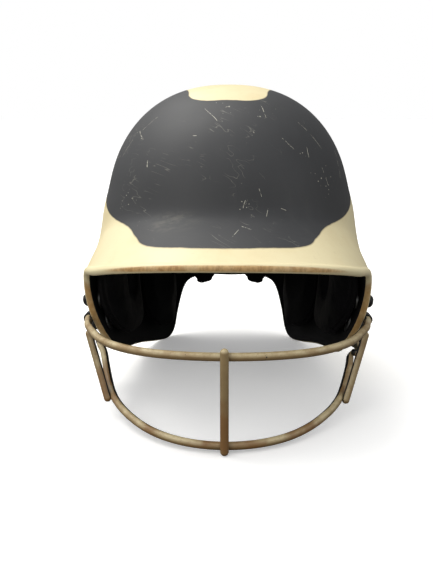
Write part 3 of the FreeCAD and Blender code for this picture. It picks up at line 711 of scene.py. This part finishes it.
def cap_mesh(name, crown, axis):
    """Domed head with a hexagon socket, over the plain head whose crown and axis are given."""
    spin = axis.to_track_quat("Z", "X").to_matrix()
    vertices, faces = [], []
    for radius, height, hexagon in CAP_RINGS:
        for index in range(CAP_SIDES):
            turn = 2 * math.pi * index / CAP_SIDES
            wedge = (turn % (math.pi / 3)) - math.pi / 6
            reach = radius * (1 + hexagon * (math.cos(math.pi / 6) / math.cos(wedge) - 1))
            local = Vector((reach * math.cos(turn), reach * math.sin(turn), height - HEAD_HEIGHT))
            vertices.append(crown + spin @ (0.001 * local))
    for ring in range(len(CAP_RINGS) - 1):
        for index in range(CAP_SIDES):
            beside = (index + 1) % CAP_SIDES
            low, high = ring * CAP_SIDES, (ring + 1) * CAP_SIDES
            faces.append((low + index, low + beside, high + beside, high + index))
    faces.append(tuple(reversed(range(CAP_SIDES))))
    faces.append(tuple(range((len(CAP_RINGS) - 1) * CAP_SIDES, len(CAP_RINGS) * CAP_SIDES)))
    mesh = bpy.data.meshes.new(name)
    mesh.from_pydata(vertices, [], faces)
    mesh.materials.append(screw_black)
    mesh.shade_smooth()
    return mesh


screw_points = points_of(nodes["clip_screws"].data)
middle_height = screw_points[:, 2].mean()
for side in SIDES:
    for level in ("upper", "lower"):
        on_side = (screw_points[:, 0] > 0) == (side == "left")
        at_level = (screw_points[:, 2] > middle_height) == (level == "upper")
        screw = screw_points[on_side & at_level]
        centre = screw.mean(axis=0)
        axis = np.linalg.svd(screw - centre, full_matrices=False)[2][0]
        axis = axis * np.sign(axis[0] * centre[0])
        crown = Vector(centre + axis * ((screw - centre) @ axis).max())
        name = "screw_cap_" + level + "_" + side
        cap = bpy.data.objects.new(name, cap_mesh(name, crown, Vector(axis)))
        bpy.context.scene.collection.objects.link(cap)
        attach(cap, "helmet")


# ---------------------------------------------------------------- floor, light and camera

# Light that the paper adds where the camera sees it.
PAPER_GLOW = 0.3


def floor_material():
    """White paper that looks bright and throws little light back under the helmet."""
    n = Nodes("floor_paper")
    texture = n.tree.nodes.new("ShaderNodeTexCoord")
    grain = n.noise(texture.outputs["Object"], 60.0, 4.0)
    paper = n.mix(grain, shade(252, 252, 252), shade(248, 248, 247))
    return n.surface(Base_Color=n.mix(n.seen(), shade(120, 118, 114), paper), Roughness=0.8,
                     Specular_IOR_Level=0.0, Emission_Color=shade(255, 255, 255),
                     Emission_Strength=n.both(n.seen(), PAPER_GLOW))


bpy.ops.mesh.primitive_plane_add(size=14.0, location=(0, 0, -0.0002))
floor = bpy.context.object
floor.name = "floor"
floor.data.materials.append(floor_material())


def studio_world():
    """White to the camera; the light itself comes mostly from above and the left."""
    n = Nodes("studio", world=True)
    texture = n.tree.nodes.new("ShaderNodeTexCoord")
    above = n.vector("DOT_PRODUCT", texture.outputs["Generated"], (-0.5, -0.25, 0.83))
    glow = n.math("MULTIPLY_ADD", n.step(above, -0.1, 1.0), 0.85, 0.22)
    background = n.tree.nodes.new("ShaderNodeBackground")
    background.inputs["Color"].default_value = (1.0, 1.0, 1.0, 1.0)
    n.put(background.inputs["Strength"], n.math("MAXIMUM", glow, n.seen()))
    n.tree.links.new(background.outputs[0], n.out.inputs[0])
    return n.material


bpy.context.scene.world = studio_world()
bpy.context.scene.view_settings.view_transform = "Standard"


def area_light(name, place, aim, size, power, colour):
    data = bpy.data.lights.new(name, "AREA")
    data.shape = "RECTANGLE"
    data.size, data.size_y = size
    data.energy = power
    data.color = colour
    light = bpy.data.objects.new(name, data)
    bpy.context.scene.collection.objects.link(light)
    light.location = place
    light.rotation_euler = (Vector(aim) - Vector(place)).to_track_quat("-Z", "Y").to_euler()


area_light("overhead", (-0.52, 0.40, 1.35), (0, 0, 0.13), (1.1, 0.9), 13.5, (1.0, 0.98, 0.94))
area_light("front", (-0.95, -1.2, 0.9), (0, 0, 0.12), (0.9, 0.7), 4.5, (1.0, 0.97, 0.92))
area_light("right", (1.3, -0.5, 0.6), (0, 0, 0.1), (0.8, 0.8), 3.0, (0.97, 0.98, 1.0))

# The camera stands before the face, 5 degrees above the level of the upright helmet. It aims a
# little below and to the side of the target, which puts the helmet high in the frame.
DISTANCE = 0.65
ELEVATION = math.radians(5.0) + TILT
AZIMUTH = math.radians(0.8)
AIM_DOWN, AIM_ASIDE = math.radians(-5.6), math.radians(0.85)
target = UPRIGHT @ Vector((0.0, 0.0, 0.110))
back = Vector((math.sin(AZIMUTH) * math.cos(ELEVATION), -math.cos(AZIMUTH) * math.cos(ELEVATION),
               math.sin(ELEVATION)))
camera_data = bpy.data.cameras.new("camera")
camera_data.lens = 50.3
camera_data.sensor_width = 36.0
camera = bpy.data.objects.new("camera", camera_data)
bpy.context.scene.collection.objects.link(camera)
camera.location = target + back * DISTANCE
camera.rotation_mode = "QUATERNION"
aim = (-back).to_track_quat("-Z", "Y")
camera.rotation_quaternion = aim @ Euler((AIM_DOWN, AIM_ASIDE, 0)).to_quaternion()
bpy.context.scene.camera = camera
